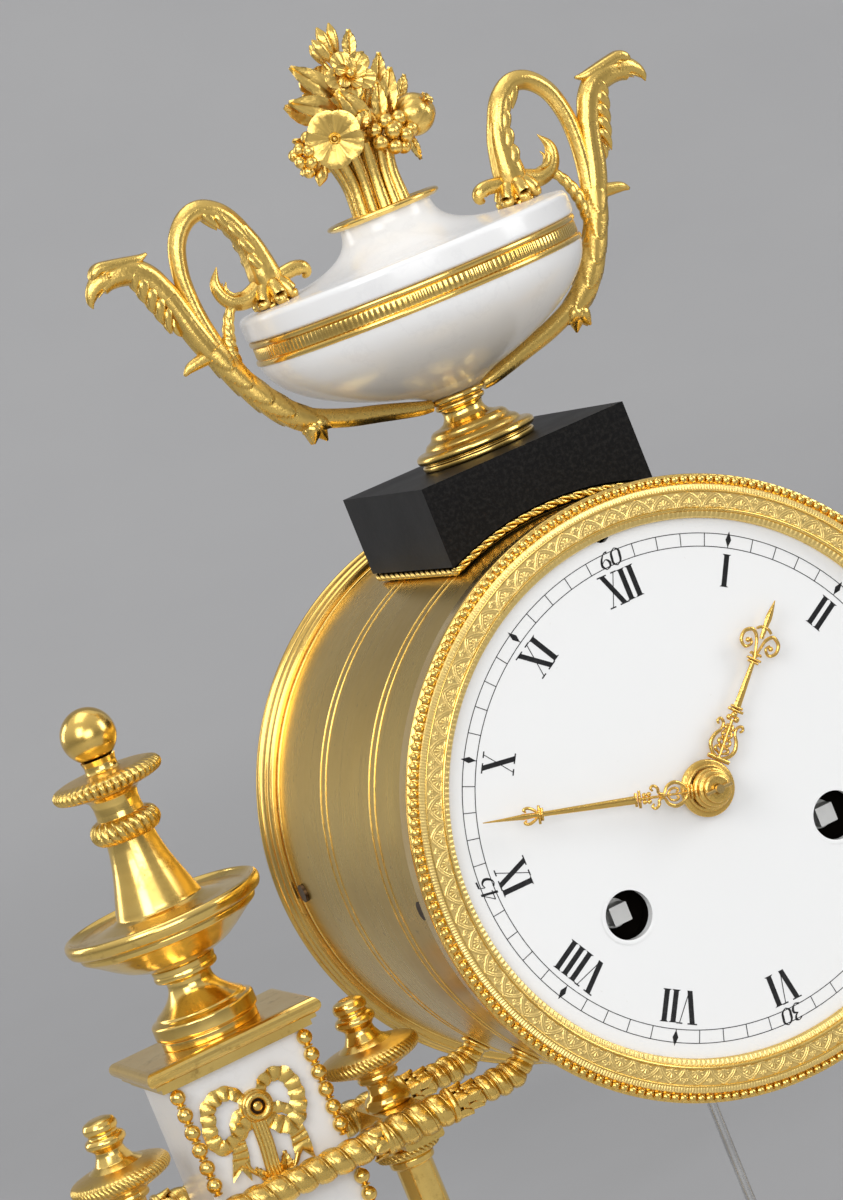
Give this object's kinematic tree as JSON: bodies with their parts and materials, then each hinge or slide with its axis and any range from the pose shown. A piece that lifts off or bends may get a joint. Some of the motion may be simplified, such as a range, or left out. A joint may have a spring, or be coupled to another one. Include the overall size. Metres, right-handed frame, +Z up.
{
  "type": "mantel clock",
  "caption": "Portico mantel clock: a drum with a striking movement hung between marble pillars under a slate block and a flower urn, with a pendulum below",
  "frame": {"origin": "on the table, under the middle of the base", "axes": "+Z up; +X to the right for someone facing the dial; the dial faces -Y; +Y to the back"},
  "size_m": [0.33, 0.13, 0.4731],
  "materials": {
    "marble": "polished white statuary marble",
    "slate": "polished black slate",
    "ormolu": "fire-gilt bronze, matt chasing with burnished edges",
    "drum_brass": "dull polished sheet brass",
    "movement_brass": "lacquered clock brass",
    "bell_metal": "turned bell metal",
    "steel": "polished steel",
    "spring_steel": "blued spring steel",
    "dark_steel": "browned steel",
    "enamel": "white vitreous enamel with black numerals",
    "hands_gilt": "pierced and gilt brass"
  },
  "bodies": {
    "case": {"base_plinth": "marble", "base_feet": "ormolu", "base_mounts": "ormolu", "pillar_socles": "ormolu", "pillar_left": "marble", "pillar_right": "marble", "cornices": "ormolu", "pillar_beads": "ormolu", "trophies": "ormolu", "trophy_bolts": "dark_steel", "finial_feet": "ormolu", "finial_left": "ormolu", "finial_right": "ormolu", "columns_left": "ormolu", "columns_right": "ormolu", "column_finials": "ormolu", "twisted_bars_left": "ormolu", "twisted_bars_right": "ormolu", "drum": "drum_brass", "bezel": "ormolu", "rear_ring": "ormolu", "case_screws": "dark_steel", "door_hinge_pin": "steel", "dial": "enamel", "front_plate": "movement_brass", "rear_plate": "movement_brass", "movement_pillars": "movement_brass", "movement_straps": "movement_brass", "going_barrel": "movement_brass", "strike_barrel": "movement_brass", "mainsprings": "spring_steel", "clicks": "steel", "going_train": "movement_brass", "strike_train": "movement_brass", "count_wheel": "movement_brass", "suspension_cock": "movement_brass", "bell": "bell_metal", "slate_block": "slate", "rope_trim": "ormolu", "urn_foot": "ormolu", "urn_bowl": "marble", "urn_band": "ormolu", "urn_lid": "marble", "bouquet": "ormolu", "urn_handle_left": "ormolu", "urn_handle_right": "ormolu"},
    "pendulum": {"pendulum_rod": "steel", "pendulum_bob": "ormolu"},
    "escapement": {"pallets": "steel"},
    "minute": {"minute_hand": "hands_gilt", "cannon_pinion": "movement_brass"},
    "motion": {"minute_wheel": "movement_brass"},
    "hour": {"hour_hand": "hands_gilt", "hour_wheel": "movement_brass"},
    "going_winding": {"going_arbor": "steel"},
    "strike_winding": {"strike_arbor": "steel"},
    "regulator": {"regulator_arbor": "steel"},
    "striker": {"hammer": "steel"},
    "back_door": {"rear_door": "drum_brass"}
  },
  "joints": [
    {"name": "pendulum_swing", "type": "hinge", "parent": "case", "child": "pendulum", "pos_m": [0, 0.018, 0.339], "axis": [0, 1, 0], "range_deg": [-4, 4]},
    {"name": "escapement_rock", "type": "hinge", "parent": "case", "child": "escapement", "pos_m": [0, 0, 0.339], "axis": [0, 1, 0], "range_deg": [-4, 4]},
    {"name": "minute_turn", "type": "hinge", "parent": "case", "child": "minute", "pos_m": [0, -0.045, 0.3], "axis": [0, 1, 0], "continuous": true},
    {"name": "motion_turn", "type": "hinge", "parent": "case", "child": "motion", "pos_m": [-0.01131, -0.042, 0.31131], "axis": [0, 1, 0], "continuous": true},
    {"name": "hour_turn", "type": "hinge", "parent": "case", "child": "hour", "pos_m": [0, -0.045, 0.3], "axis": [0, 1, 0], "continuous": true},
    {"name": "going_wind", "type": "hinge", "parent": "case", "child": "going_winding", "pos_m": [0.025, -0.02, 0.2829], "axis": [0, 1, 0], "continuous": true},
    {"name": "strike_wind", "type": "hinge", "parent": "case", "child": "strike_winding", "pos_m": [-0.025, -0.02, 0.2829], "axis": [0, 1, 0], "continuous": true},
    {"name": "regulator_turn", "type": "hinge", "parent": "case", "child": "regulator", "pos_m": [0, -0.02, 0.356], "axis": [0, 1, 0], "continuous": true},
    {"name": "hammer_lift", "type": "hinge", "parent": "case", "child": "striker", "pos_m": [-0.042, 0, 0.298], "axis": [0, 1, 0], "range_deg": [0, 15], "stiffness_Nm_per_rad": 0.02, "springref_deg": -34.38},
    {"name": "back_door_swing", "type": "hinge", "parent": "case", "child": "back_door", "pos_m": [0.0629, 0.0534, 0.3], "axis": [0, 0, -1], "range_deg": [0, 110]}
  ],
  "couplings": [
    {"joint": "escapement_rock", "follows": "pendulum_swing", "ratio": 1},
    {"joint": "motion_turn", "follows": "minute_turn", "ratio": -0.33333},
    {"joint": "hour_turn", "follows": "minute_turn", "ratio": 0.083333}
  ]
}
